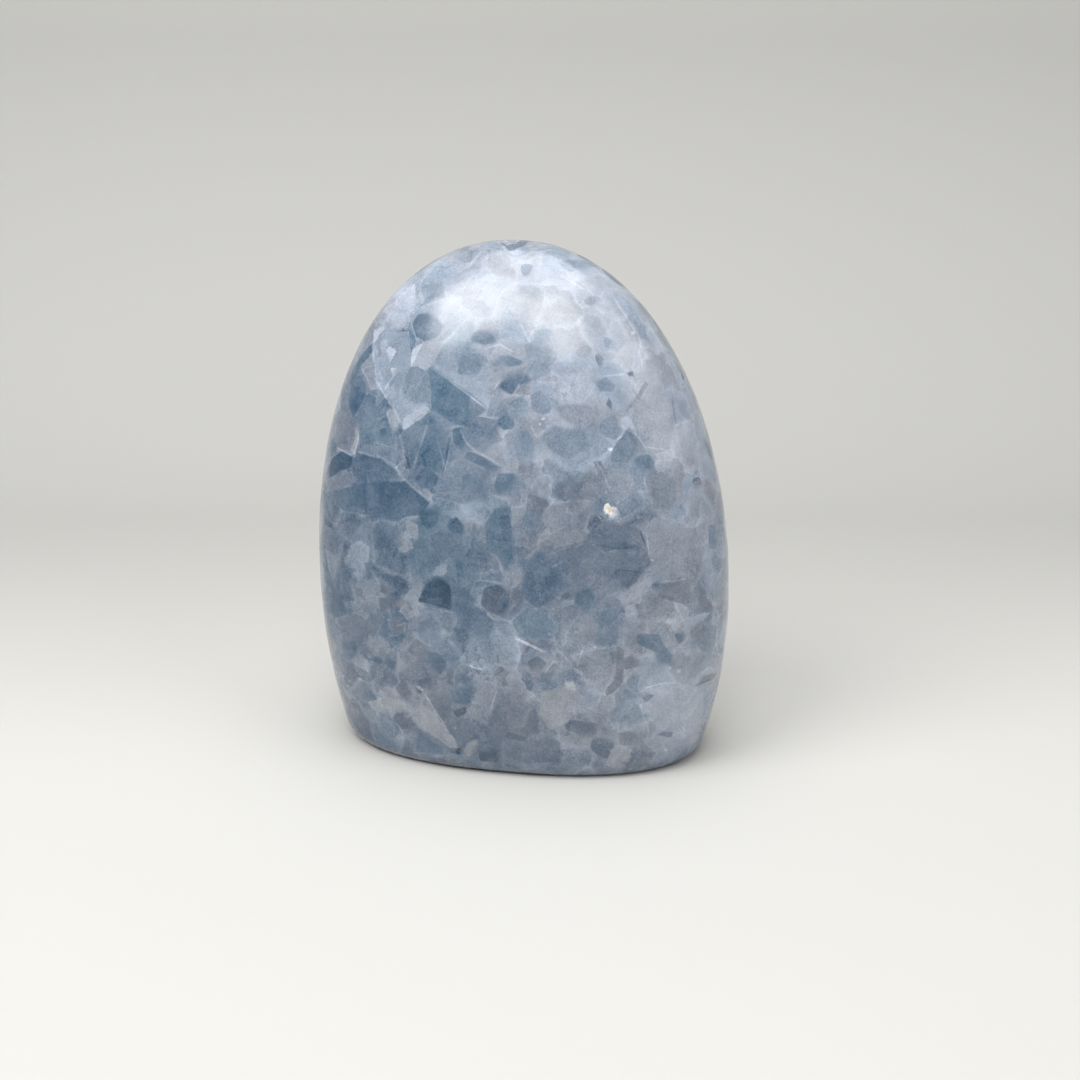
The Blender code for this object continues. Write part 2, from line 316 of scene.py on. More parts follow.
    ("dark tooth right", "dark dusk mauve", 700, 590, 706, 596, 713, 606, 708, 612, 700, 609, 697, 598),
    ("dark fin right", "dusk mid mauve", 689, 627, 702, 620, 706, 634, 702, 643, 691, 639),
    # foot
    ("black slash", "dark dark blue", 361, 645, 368, 645, 373, 655, 384, 660, 381, 665, 370, 660, 363, 658),
    ("left dusk", "deep dark blue", 341, 643, 355, 640, 358, 652, 350, 662, 343, 656),
    ("mauve chip", "dark dusk mauve", 395, 688, 404, 677, 418, 680, 414, 694, 410, 702, 402, 699),
    ("mauve chip 2", "dark dark mauve", 417, 680, 431, 676, 432, 684, 420, 687),
    ("cream plate", "pale soft cream", 368, 702, 380, 698, 392, 697, 404, 704, 412, 708, 400, 711, 385, 712, 372, 710),
    ("pale lens at the rim", "soft mid lilac", 364, 645, 370, 635, 382, 637, 390, 645, 386, 659, 370, 657),
    ("mauve gable", "dusk mid mauve", 406, 651, 416, 638, 434, 651, 442, 661, 450, 672, 430, 668, 415, 656),    ("dark pebble", "dark dusk mauve", 391, 719, 397, 712, 408, 712, 418, 722, 413, 732, 402, 729),
    ("cream streak", "pale pale cream", 412, 689, 420, 687, 426, 693, 442, 723, 454, 739, 458, 747, 450, 748, 438, 739, 422, 729, 410, 715, 415, 700),
    ("mauve shard", "mid dusk mauve", 427, 690, 440, 682, 450, 686, 453, 700, 451, 716, 441, 723, 432, 705),
    ("blue hollow", "dark dark blue", 425, 650, 440, 654, 448, 665, 441, 674, 428, 669),
    ("dark shelf", "dark dusk blue", 450, 690, 462, 686, 477, 686, 475, 699, 466, 705, 453, 703),
    ("dark shelf 2", "ink deep mauve", 452, 711, 466, 706, 468, 712, 458, 718),
    ("pale column", "soft soft lilac", 474, 700, 480, 686, 491, 678, 501, 684, 496, 705, 488, 726, 477, 722, 465, 716),
    ("mauve panes", "dusk mid mauve", 498, 700, 503, 688, 522, 690, 530, 705, 519, 735, 490, 733),
    ("dark sail", "dusk dusk mauve", 540, 735, 520, 734, 529, 712, 536, 707),
    ("dark dash", "dark dark mauve", 505, 731, 527, 737, 526, 742, 507, 739),
    ("mauve eye", "deep dark mauve", 527, 661, 538, 656, 547, 663, 541, 671, 530, 672),
    ("cream cloud", "soft pale cream", 541, 693, 556, 688, 572, 680, 579, 690, 574, 708, 566, 724, 548, 730, 541, 716),
    ("dark fish", "dark dusk mauve", 564, 724, 573, 720, 598, 723, 598, 734, 591, 739, 577, 734, 566, 730),
    ("white chip", "soft soft cream", 582, 740, 588, 736, 593, 740, 588, 746, 583, 746),
    ("black bean", "dark dark lilac", 590, 748, 592, 739, 602, 736, 615, 742, 614, 748, 608, 759, 600, 757, 593, 752),
    ("ochre grain", "pale soft cream", 470, 741, 477, 740, 478, 745, 475, 751, 470, 757, 464, 755, 463, 750),
    ("grey slab at the foot", "mid dusk lilac", 503, 741, 530, 743, 546, 736, 560, 742, 561, 765, 520, 764, 503, 756),
    ("dark corner", "ink deep mauve", 478, 752, 497, 751, 500, 763, 480, 761),
    ("dark nib", "dusk dusk mauve", 617, 645, 624, 650, 624, 672, 622, 684, 614, 692, 606, 697, 606, 688, 613, 682, 616, 668),
    ("foot slab", "pale pale lilac crisp", 676, 683, 641, 692, 640, 706, 655, 726, 680, 741, 700, 731, 706, 702, 702, 688),
    ("wedge at the rim", "dusk dusk mauve", 697, 686, 703, 676, 718, 672, 712, 680),
    ("dusk dash", "dark dusk blue", 656, 735, 664, 731, 673, 732, 672, 738),
    ("ochre patch", "soft pale cream", 611, 750, 620, 745, 632, 750, 630, 761, 614, 766, 607, 764),
    ("crown pane", "pale soft blue", 425, 272, 440, 266, 455, 264, 462, 278, 450, 279, 440, 283, 425, 285),
    ("crown haze", "soft soft blue", 541, 254, 555, 248, 570, 254, 568, 267, 553, 272, 542, 266),
    ("crown sliver", "soft soft blue", 478, 247, 485, 243, 497, 241, 508, 244, 500, 246, 488, 248),
    ("crown chip", "pale pale teal", 508, 248, 515, 245, 521, 248, 519, 254, 514, 256),
    ("crown bar", "mid mid blue", 558, 262, 570, 259, 590, 260, 598, 266, 582, 270, 570, 272, 562, 268),
    ("crown bead", "dusk dusk blue", 520, 268, 523, 264, 529, 264, 534, 266, 529, 276, 523, 277),
    ("crown bean", "mid soft lilac", 584, 300, 590, 295, 597, 298, 600, 304, 592, 307, 585, 304),
    ("crown tooth", "soft pale blue crisp", 507, 303, 512, 313, 518, 322, 522, 333, 527, 341, 515, 345, 503, 343, 498, 335, 500, 320),
    ("teal beside the tooth", "soft mid teal", 535, 330, 545, 328, 553, 330, 551, 340, 545, 345, 533, 343),
    ("mauve cap", "soft soft mauve", 478, 328, 485, 321, 493, 320, 497, 328, 495, 335, 480, 332),
    ("deep cap", "dark dusk blue", 470, 335, 480, 329, 489, 330, 495, 336, 497, 343, 484, 345, 472, 342),
    ("teal bit", "mid mid teal", 455, 341, 470, 341, 470, 352, 456, 353),
    ("slate by the lilac", "mid soft blue", 443, 344, 450, 341, 458, 345, 459, 360, 455, 374, 443, 372, 434, 362, 438, 355),
    ("deep block", "dusk mid blue", 457, 360, 463, 355, 475, 353, 482, 358, 483, 368, 478, 375, 458, 375),
    ("deep lens", "dusk dusk blue", 490, 363, 500, 355, 510, 355, 525, 362, 522, 365, 506, 368, 494, 368),
    ("slate block", "mid mid blue", 523, 343, 536, 343, 552, 345, 553, 353, 550, 373, 536, 381, 526, 371, 528, 361),
    ("mauve fleck", "mid soft mauve", 573, 352, 580, 346, 588, 344, 593, 350, 589, 357, 580, 358),
    ("arrow", "dusk dusk mauve", 594, 353, 604, 362, 600, 368, 596, 362),
    ("teal fleck", "mid mid teal", 603, 337, 612, 338, 614, 347, 605, 349),
    ("white jag", "pale pale lilac crisp", 633, 337, 639, 344, 640, 358, 639, 372, 632, 372, 634, 355),
    ("flank dusk", "soft soft mauve", 645, 360, 655, 358, 662, 368, 662, 377, 648, 376),
    ("rim strip", "dusk mid lilac", 340, 400, 343, 385, 350, 371, 352, 378, 348, 392, 345, 402),
    ("small dusk", "dusk mid blue", 372, 389, 378, 389, 378, 397, 372, 397),
    ("teal step", "mid soft blue", 508, 401, 520, 397, 528, 401, 528, 417, 518, 421, 509, 409),
    ("hexagon", "dusk mid blue", 473, 416, 483, 417, 497, 420, 500, 428, 497, 440, 485, 455, 470, 446, 461, 433, 463, 427),
    ("hexagon 2", "mid mid teal", 498, 437, 503, 436, 507, 447, 508, 458, 500, 462, 488, 452),
    ("hexagon 3", "mid soft teal", 514, 440, 520, 432, 526, 428, 531, 434, 535, 447, 533, 458, 523, 463, 512, 460, 509, 450),
    ("ring", "dusk mid mauve", 518, 466, 523, 463, 528, 467, 526, 473, 519, 473),
    ("teal drift", "dusk dark teal", 498, 473, 515, 473, 518, 482, 512, 492, 497, 495, 493, 485),
    ("teal drift 2", "dusk dusk teal", 461, 475, 471, 474, 471, 488, 462, 489),
    ("slate step", "mid mid blue", 530, 395, 540, 389, 550, 401, 552, 411, 544, 415, 532, 411),
    ("mauve step", "mid soft lilac", 556, 407, 570, 403, 588, 405, 600, 409, 608, 425, 596, 433, 584, 427, 568, 423, 560, 417),
    ("slate oval", "mid mid blue", 541, 437, 554, 426, 584, 429, 591, 446, 569, 460, 552, 453),
    ("tail of the blue cell", "mid mid blue", 524, 512, 541, 513, 533, 532, 527, 538, 522, 530),
    ("slash by the slab", "mid dusk mauve", 645, 381, 649, 384, 640, 398, 631, 409, 627, 407, 636, 396),
    ("slate cell", "mid mid blue", 603, 418, 615, 414, 620, 424, 623, 432, 616, 440, 605, 437, 598, 430),
    ("fleck", "dark dark blue", 609, 397, 612, 403, 612, 413, 606, 404),
    ("crescent", "dusk mid mauve", 597, 465, 603, 470, 607, 478, 609, 487, 604, 490, 598, 480),
    ("pale cell", "soft soft lilac", 609, 462, 622, 470, 633, 480, 628, 497, 617, 503, 606, 497, 608, 480),
    ("bright cell", "pale soft lilac", 655, 461, 672, 460, 670, 471, 656, 472),
    # painted glint: a flash of light off a cleavage plane at the glinting nick
    ("glint", "white milk cream crisp", 604, 505, 608, 503, 611, 507, 616, 508, 619, 514, 616, 519, 611, 519, 608, 514, 604, 511),
    ("eye at the flank", "dusk dusk mauve", 693, 478, 700, 477, 702, 484, 697, 488, 692, 485),
    ("slate pentagon", "dark dusk blue", 430, 535, 440, 531, 457, 534, 457, 552, 443, 562, 430, 546),
    ("teal post", "dusk dusk teal", 416, 535, 430, 540, 429, 570, 417, 568),
    ("pale fleck", "pale soft lilac", 398, 540, 410, 536, 414, 548, 404, 553, 398, 550),
    ("pale fleck 2", "pale soft lilac", 408, 520, 418, 525, 418, 540, 410, 538),
    ("dusk fleck", "dark dusk mauve", 390, 537, 396, 538, 395, 544, 390, 543),
    ("dusk fleck 2", "dusk dusk blue", 364, 563, 372, 562, 374, 569, 367, 572),
    ("lilac block", "mid soft lilac", 352, 582, 366, 578, 378, 584, 376, 606, 362, 600, 354, 596),
    ("mauve cluster", "dark dusk mauve", 381, 582, 394, 590, 388, 595, 380, 592),
    ("mauve cluster 2", "dusk dark mauve", 378, 597, 390, 598, 390, 611, 380, 612),
    ("mauve ring", "dusk mid mauve", 391, 597, 403, 596, 407, 603, 402, 608, 392, 606),
    ("pale post", "mid soft lilac", 410, 578, 418, 575, 422, 583, 420, 597, 411, 596),
    ("ring grain", "dusk mid blue", 420, 622, 430, 618, 440, 622, 441, 635, 432, 641, 418, 630),
    ("pale strip", "soft mid lilac", 511, 507, 525, 507, 519, 535, 513, 525),
    ("pale flag", "soft mid lilac", 546, 512, 560, 510, 580, 520, 575, 530, 552, 537, 541, 520),
    ("mauve flag", "mid soft mauve", 536, 552, 541, 536, 556, 532, 575, 530, 592, 528, 585, 541, 560, 546, 545, 550),
    ("slate below the teal", "dark dusk blue", 465, 608, 478, 607, 495, 622, 490, 640, 465, 638, 460, 625),
    ("teal dome", "mid dusk teal", 515, 615, 525, 609, 545, 610, 556, 628, 550, 640, 520, 638, 512, 625),
    ("mauve wedge", "dark dusk mauve", 512, 590, 524, 590, 524, 605, 517, 614),
    ("teal below the storm", "dark dusk teal", 577, 592, 590, 588, 597, 595, 588, 613, 575, 602),
    ("dark chip", "dark dark mauve", 562, 594, 568, 591, 573, 597, 560, 601),
    ("lilac below the storm", "dusk mid lilac", 570, 568, 595, 572, 593, 585, 570, 585),
    ("mauve post", "soft mid mauve", 580, 615, 597, 618, 596, 645, 582, 642),
    ("pale flake", "mid soft blue", 560, 604, 573, 600, 574, 604, 562, 607),
    ("pale tip", "pale pale lilac", 686, 527, 690, 520, 700, 515, 706, 521, 696, 528),
    ("green dusk at the rim", "dusk mid teal", 708, 525, 716, 524, 718, 540, 716, 550, 709, 549),
    ("mauve by the crown", "mid dusk mauve", 655, 590, 663, 584, 668, 590, 664, 600, 651, 597),
    ("pale rim", "soft mid blue", 703, 577, 716, 574, 722, 585, 722, 600, 708, 598),
    ("blue ridge", "dusk dark blue", 636, 634, 659, 634, 664, 645, 673, 655, 673, 666, 657, 664, 655, 652, 639, 645),
    ("blue ridge 2", "dark dusk blue", 674, 634, 684, 632, 686, 640, 679, 645),
    ("slate dome", "dusk mid blue", 600, 612, 612, 608, 622, 612, 612, 625, 600, 622),
    ("pale ridge", "pale pale lilac", 620, 598, 630, 588, 645, 578, 655, 580, 640, 603, 622, 603),
    ("whitish post", "pale soft lilac", 626, 606, 634, 604, 638, 614, 632, 625, 626, 618),
    ("blue heel", "dusk mid blue", 418, 728, 443, 745, 444, 755, 415, 752),
    ("bright flake", "soft soft lilac", 515, 639, 528, 646, 543, 652, 539, 648, 526, 642),
    ("rosy chip", "pale milk cream", 565, 682, 574, 682, 575, 690, 567, 690),
    ("mauve fold", "dusk dusk mauve", 620, 660, 632, 655, 647, 665, 625, 670),
    ("fleck on the slab", "mid dusk blue", 641, 698, 646, 693, 655, 695, 647, 702),
    ("mauve sole", "mid dusk mauve", 617, 733, 632, 731, 645, 736, 640, 746, 620, 745),
    ("green rim below", "soft soft teal", 704, 690, 714, 690, 710, 715, 702, 720),
    ("rosy rim", "pale pale mauve", 690, 727, 700, 725, 698, 740, 690, 744),
)

# Hairlines: brightness, half width and the points of the path, in photo pixels
HAIRLINES = (
    (0.9, 0.8, 598, 516, 601, 519), (0.8, 0.7, 617, 521, 620, 522), (1.0, 0.7, 603, 509, 606, 515),
    (1.0, 1.7, 515, 638, 530, 645, 545, 652), (0.9, 1.3, 469, 665, 475, 668, 482, 669), (0.7, 1.0, 493, 390, 501, 380),
    (0.5, 1.0, 358, 451, 374, 457), (0.6, 1.2, 336, 447, 352, 456), (0.5, 1.0, 359, 434, 357, 445, 353, 455),
    (0.5, 0.9, 390, 636, 400, 635), (0.5, 1.0, 396, 626, 406, 623), (0.4, 0.9, 393, 526, 407, 517), (0.4, 0.9, 400, 528, 408, 520),
    (0.6, 1.2, 424, 693, 436, 712, 446, 727), (0.8, 1.4, 609, 450, 613, 449), (0.6, 1.0, 617, 440, 622, 436),
    (0.35, 1.0, 619, 424, 628, 430, 636, 434, 645, 447, 668, 450), (0.4, 1.0, 595, 460, 602, 470, 609, 488),
    (0.45, 1.3, 612, 293, 617, 303, 625, 315, 633, 328, 638, 335, 641, 345, 639, 353, 642, 362, 643, 372),
    (0.5, 1.3, 604, 376, 625, 374), (0.45, 1.0, 660, 581, 675, 581, 690, 578), (0.5, 1.0, 642, 689, 660, 684, 677, 682),
    (0.35, 0.8, 540, 543, 552, 533, 566, 526), (0.3, 0.8, 548, 556, 562, 549, 578, 546, 592, 540),
    (0.3, 0.7, 590, 527, 600, 521, 612, 519), (-0.35, 1.0, 592, 543, 606, 547, 622, 549, 636, 546), (0.5, 0.8, 592, 546, 597, 543),
    (0.5, 0.9, 599, 550, 605, 553), (0.45, 0.8, 608, 552, 618, 550), (0.5, 0.8, 620, 549, 623, 550), (0.5, 0.7, 646, 532, 648, 543, 649, 557),
    (0.25, 0.8, 602, 535, 612, 530, 622, 534), (0.25, 0.8, 612, 560, 622, 561, 632, 558), (-0.3, 0.9, 612, 577, 618, 570, 630, 571, 642, 573),
    (0.4, 0.9, 584, 645, 577, 668), (0.45, 0.9, 545, 672, 554, 661, 559, 662), (0.5, 1.0, 552, 567, 562, 562),
    (0.4, 1.0, 418, 605, 440, 610, 455, 613), (0.4, 1.5, 357, 452, 382, 458, 397, 467, 400, 475, 412, 487, 423, 495, 433, 502, 443, 507),
    (0.5, 1.3, 372, 344, 374, 360, 376, 380, 383, 393, 394, 409, 403, 428), (0.5, 1.2, 399, 369, 390, 381, 384, 391), (0.4, 1.0, 361, 367, 367, 378, 371, 388), (0.5, 1.2, 404, 430, 430, 411), (0.5, 1.1, 431, 367, 487, 409),
    (0.5, 1.2, 485, 349, 500, 344, 508, 349, 515, 352), (0.5, 1.2, 520, 322, 528, 340, 533, 330), (0.4, 1.2, 560, 275, 585, 290),
    (0.35, 1.2, 429, 417, 424, 436, 417, 455, 413, 472), (0.4, 1.2, 437, 439, 446, 470), (0.35, 1.0, 477, 600, 492, 618, 512, 622),
    (0.35, 1.2, 470, 595, 476, 580, 500, 583), (0.35, 1.0, 532, 764, 551, 763), (0.5, 1.0, 497, 690, 490, 712),
    (0.35, 1.3, 398, 430, 401, 440, 405, 459, 396, 468, 391, 466), (0.4, 1.5, 461, 430, 465, 441, 475, 451, 487, 457, 500, 465),
    (0.35, 1.2, 530, 424, 537, 437, 545, 430, 551, 424), (0.35, 1.3, 490, 613, 510, 622, 527, 607), (0.3, 1.2, 640, 705, 650, 735),
    (0.35, 2.2, 540, 535, 538, 548, 525, 560), (0.35, 1.5, 675, 603, 685, 625), (-0.5, 1.0, 449, 440, 446, 460, 441, 478),
    (-0.5, 1.0, 672, 398, 676, 424), (-0.6, 1.6, 597, 354, 604, 360), (-0.5, 1.0, 681, 442, 682, 448), (-0.5, 1.2, 324, 545, 328, 572),
    (-0.4, 1.0, 632, 388, 641, 402), (-0.5, 1.0, 695, 686, 712, 679), (-0.4, 1.0, 466, 390, 488, 409), (-0.5, 1.3, 640, 530, 646, 547),
    (-0.4, 1.0, 388, 331, 408, 331), (-0.4, 1.2, 407, 457, 410, 470), (-0.35, 1.4, 498, 655, 498, 665), (-0.35, 1.0, 358, 482, 376, 480, 406, 481),
)

# Glints and pits: brightness, half size and middle, in photo pixels. The bright ones are painted glints, light caught
# by cleavage planes and the rims of small pits; the dark ones are painted shade in small pits
PAINTED_GLINTS_AND_PITS = (
    (1.0, 3.4, 609, 512), (0.9, 2.6, 614, 515), (1.0, 1.6, 540, 424), (1.0, 1.6, 543, 419), (0.8, 1.6, 343, 676), (0.6, 1.6, 350, 681),
    (0.6, 1.4, 348, 686), (0.8, 1.8, 360, 679), (0.9, 1.6, 422, 690), (0.7, 1.8, 419, 687), (0.6, 1.6, 670, 668), (0.7, 2.0, 679, 671),
    (0.6, 1.8, 666, 750), (0.5, 1.4, 635, 761), (0.8, 2.0, 633, 333), (0.5, 1.8, 652, 560), (0.5, 1.5, 461, 692), (0.5, 1.4, 553, 609),
    (0.5, 1.5, 349, 556), (0.6, 1.6, 421, 597), (0.5, 1.6, 641, 705), (0.6, 2.0, 638, 517), (0.4, 1.6, 642, 427), (0.7, 2.0, 610, 449),
    (-0.9, 2.6, 631, 374), (-0.7, 2.4, 458, 753), (-0.5, 1.6, 420, 692), (0.5, 1.8, 549, 634), (0.4, 1.6, 576, 632), (0.5, 1.4, 455, 728),
)


def signed_power(values, exponent):
    """Power of the size of each value, with the value's own sign."""
    return np.sign(values) * np.abs(values) ** exponent


def direction(longitude, latitude):
    """Unit vectors at longitudes and latitudes in radians."""
    return np.stack([
        np.cos(latitude) * np.cos(longitude),
        np.cos(latitude) * np.sin(longitude),
        np.sin(latitude) + 0.0 * longitude,
    ], axis=-1)


def unit(vectors):
    return vectors / np.linalg.norm(vectors, axis=-1, keepdims=True)


def egg_skin(longitude, latitude):
    """The polished skin over two angles.

    A superellipse in plan is carried up a squarish outline above the widest height and an
    elliptic one below it. Each swell pushes along the normal and fades as a bell curve with the
    angle from its middle. The foot's edge is a quarter circle, and the whole egg leans to -X.
    """
    upper = latitude >= 0.0
    reach = np.where(upper, HEIGHT - WIDEST_HEIGHT, LOWER_REACH)
    bend = np.where(upper, 2.0 / CROWN_SQUARENESS, 1.0)
    girth = np.abs(np.cos(latitude)) ** bend
    across = WIDTH / 2 * girth * signed_power(np.cos(longitude), 2.0 / PLAN_SQUARENESS)
    deep = THICKNESS / 2 * girth * signed_power(np.sin(longitude), 2.0 / PLAN_SQUARENESS)
    rise = reach * signed_power(np.sin(latitude), bend) + 0.0 * across
    points = np.stack([across, deep, rise], axis=-1)

    outward = unit(np.stack([
        across / (WIDTH / 2) ** 2,
        deep / (THICKNESS / 2) ** 2,
        rise / reach ** 2,
    ], axis=-1))
    outward[..., 2] = np.maximum(outward[..., 2], 0.0)
    heading = direction(longitude, latitude)
    lift = np.zeros_like(across)
    for _, swell_longitude, swell_latitude, height, spread in SWELLS:
        middle = direction(np.radians(swell_longitude), np.radians(swell_latitude))
        lift += height * np.exp((heading @ middle - 1.0) / spread)
    points += outward * lift[..., None]
    points[..., 2] += WIDEST_HEIGHT

    short_of_side = np.maximum(FOOT_ROUNDING - points[..., 2], 0.0)
    inset = FOOT_ROUNDING - np.sqrt(np.maximum(FOOT_ROUNDING ** 2 - short_of_side ** 2, 0.0))
    radius = np.maximum(np.hypot(points[..., 0], points[..., 1]), 1e-9)
    points[..., :2] *= np.maximum(1.0 - inset / radius, 0.0)[..., None]
    points[..., 0] -= LEAN * points[..., 2]
    return points


def even_steps(angles, line, weight, count, closed):
    """Angles at even steps along a line, where a larger weight draws the steps together."""
    lengths = np.linalg.norm(np.diff(line, axis=0), axis=-1)
    run = np.concatenate([[0.0], np.cumsum(lengths * (weight[1:] + weight[:-1]) / 2)])
    share = np.linspace(0.0, 1.0, count, endpoint=not closed)
    return np.interp(share * run[-1], run, angles)


def near_nicks(angles, middles, arm):
    """Extra weight round the nicks: a bell curve over the length that each angle is away."""
    weight = np.zeros_like(angles)
    for middle in middles:
        gap = np.angle(np.exp(1j * (angles - math.radians(middle)))) * arm / MM
        weight += NICK_CLOSENESS * np.exp(-(gap / NICK_REACH) ** 2)
    return weight


def column_longitudes():
    fine = np.radians(np.linspace(-270.0, 90.0, 7201))
    line = egg_skin(fine, np.zeros_like(fine))
    weight = 1.0 - FRONT_CLOSENESS * np.sin(fine)
    weight += near_nicks(fine, [nick[1] for nick in NICKS], (WIDTH + THICKNESS) / 4)
    return even_steps(fine, line, weight, COLUMNS, closed=True)


def ring_latitudes():
    fine = np.linspace(-math.asin(WIDEST_HEIGHT / LOWER_REACH), math.pi / 2, 6001)
    line = egg_skin(np.full_like(fine, -math.pi / 2), fine)
    weight = 1.0 + near_nicks(fine, [nick[2] for nick in NICKS], HEIGHT - WIDEST_HEIGHT)
    return even_steps(fine, line, weight, BODY_RINGS + 1, closed=False)[:-1]


def turned(vector, axis, degrees):
    """A vector turned about a unit axis, by Rodrigues' formula."""
    angle = math.radians(degrees)
    along = axis * (axis @ vector)
    return along + (vector - along) * math.cos(angle) + np.cross(axis, vector) * math.sin(angle)


def press_nick(points, nick, shift):
    """Pushes the skin in to the three faces of a cleavage rhomb whose blunt corner is below it.

    The push at a point is the least depth inside the three faces, and a softened step from none.
    """
    _, longitude, latitude, depth, tilt, turn = nick
    step = math.radians(0.5)
    longitudes = math.radians(longitude) + step * np.array([0.0, 1.0, -1.0, 0.0, 0.0])
    latitudes = math.radians(latitude) + step * np.array([0.0, 0.0, 0.0, 1.0, -1.0])
    skin, east, west, north, south = egg_skin(longitudes, latitudes)
    around = unit(east - west)
    outward = unit(np.cross(around, north - south))
    axis = turned(outward, around, tilt)
    across = np.array(Vector(axis).orthogonal().normalized())
    spread = math.sin(math.radians(CLEAVAGE_EDGE_ANGLE))
    climb = math.cos(math.radians(CLEAVAGE_EDGE_ANGLE))
    edges = [turned(across, axis, turn + 120.0 * third) * spread + axis * climb for third in range(3)]
    corner = skin - outward * depth + shift

    near = np.linalg.norm(points - corner, axis=-1) < NICK_SPAN
    depths = []
    for third in range(3):
        face = unit(np.cross(edges[third], edges[(third + 1) % 3]))
        face *= np.sign(face @ axis)
        depths.append((points[near] - corner) @ face / (face @ outward))
    push = NICK_SOFTNESS * np.logaddexp(0.0, np.min(depths, axis=0) / NICK_SOFTNESS)
    points[near] -= push[:, None] * outward


def polish_skin(points):
    """Sinks the skin a little under a sum of cosine waves that run in all directions."""
    dice = np.random.default_rng(7)
    headings = unit(dice.normal(size=(POLISH_WAVES, 3)))
    lengths = dice.uniform(SHORTEST_WAVE, LONGEST_WAVE, POLISH_WAVES)
    phases = dice.uniform(0.0, 2 * math.pi, POLISH_WAVES)
    waves = np.cos(points @ headings.T * (2 * math.pi / lengths) + phases)
    sink = (1.0 - waves).sum(axis=-1) * WAVE_DEPTH
    middle = np.array([0.0, 0.0, HEIGHT / 2])
    sink *= np.clip(points[:, 2] / FOOT_ROUNDING, 0.0, 1.0)
    points -= unit(points - middle) * sink[:, None]


def stone_points():
    """Rings of points from the middle of the ground flat up to the top, with one point at each end."""
    longitudes = column_longitudes()
    body = egg_skin(longitudes[None, :], ring_latitudes()[:, None])
    flat = body[:1] * np.linspace(0.0, 1.0, FLAT_RINGS + 1)[1:-1, None, None]
    rings = np.concatenate([flat, body])
    top = egg_skin(np.array([0.0]), np.array([math.pi / 2]))
    points = np.concatenate([np.zeros((1, 3)), rings.reshape(-1, 3), top])
    low, high = points.min(axis=0), points.max(axis=0)
    shift = np.array([low[0] + high[0], low[1] + high[1], 0.0]) / -2
    points += shift
    polish_skin(points)
    for nick in NICKS:
        press_nick(points, nick, shift)
    return points, len(rings)


def stone_faces(rings):
    """Corners and starts of the faces: a fan round each end, and four-cornered faces between."""
    column = np.arange(COLUMNS)
    after = (column + 1) % COLUMNS
    last_row = 1 + (rings - 1) * COLUMNS
    top = 1 + rings * COLUMNS
    lower_fan = np.stack([np.zeros_like(column), 1 + after, 1 + column], axis=-1)
    upper_fan = np.stack([last_row + column, last_row + after, np.full_like(column, top)], axis=-1)
    row = 1 + np.arange(rings - 1)[:, None] * COLUMNS
    belts = np.stack([row + column, row + after, row + COLUMNS + after, row + COLUMNS + column], axis=-1)
    corners = np.concatenate([lower_fan.ravel(), belts.ravel(), upper_fan.ravel()])
    sizes = np.repeat([3, 4, 3], [COLUMNS, (rings - 1) * COLUMNS, COLUMNS])
    return corners, np.concatenate([[0], np.cumsum(sizes)[:-1]])


def filled_mesh(name, points, corners, starts):
    """A smooth mesh from its points, the points at the faces' corners, and where each face starts."""
    mesh = bpy.data.meshes.new(name)
    mesh.vertices.add(len(points))
    mesh.vertices.foreach_set("co", points.astype(np.float32).ravel())
    mesh.loops.add(len(corners))
    mesh.loops.foreach_set("vertex_index", corners.astype(np.int32))
    mesh.polygons.add(len(starts))
    mesh.polygons.foreach_set("loop_start", starts.astype(np.int32))
    mesh.update(calc_edges=True)
    mesh.shade_smooth()
    return mesh


def camera_axes():
    """Place of the camera, then its directions to the right, up and back."""
    azimuth, elevation = math.radians(VIEW_AZIMUTH), math.radians(VIEW_ELEVATION)
    right = np.array([math.cos(azimuth), math.sin(azimuth), 0.0])
    back = direction(np.float64(azimuth - math.pi / 2), np.float64(elevation))
    return LOOK_AT + back * VIEW_DISTANCE, right, np.cross(back, right), back


def photo_places(points):
    """Where the camera sees each point, in metres at the stone from the photo's top left corner."""
    place, right, up, back = camera_axes()
    sight = points - place
    depth = -(sight @ back) / VIEW_DISTANCE
    middle = PHOTO_SIZE / 2 * PIXEL
    return np.stack([middle + sight @ right / depth, middle - sight @ up / depth], axis=-1)


def outline_depth(outline, places):
    """How far each place is inside an outline: the distance to the nearest of its sides.

    The sign is negative where a ray to the right crosses an even number of the sides.
    """
    nearest = np.full(len(places), np.inf)
    inside = np.zeros(len(places), dtype=bool)
    for start, end in zip(outline, np.roll(outline, -1, axis=0)):
        side = end - start
        offset = places - start
        share = np.clip(offset @ side / (side @ side), 0.0, 1.0)
        nearest = np.minimum(nearest, np.linalg.norm(offset - share[:, None] * side, axis=-1))
        spans = (start[1] > places[:, 1]) != (end[1] > places[:, 1])
        height = side[1] if side[1] != 0.0 else 1.0
        inside ^= spans & (offset[:, 0] < side[0] * offset[:, 1] / height)
    return np.where(inside, nearest, -nearest)


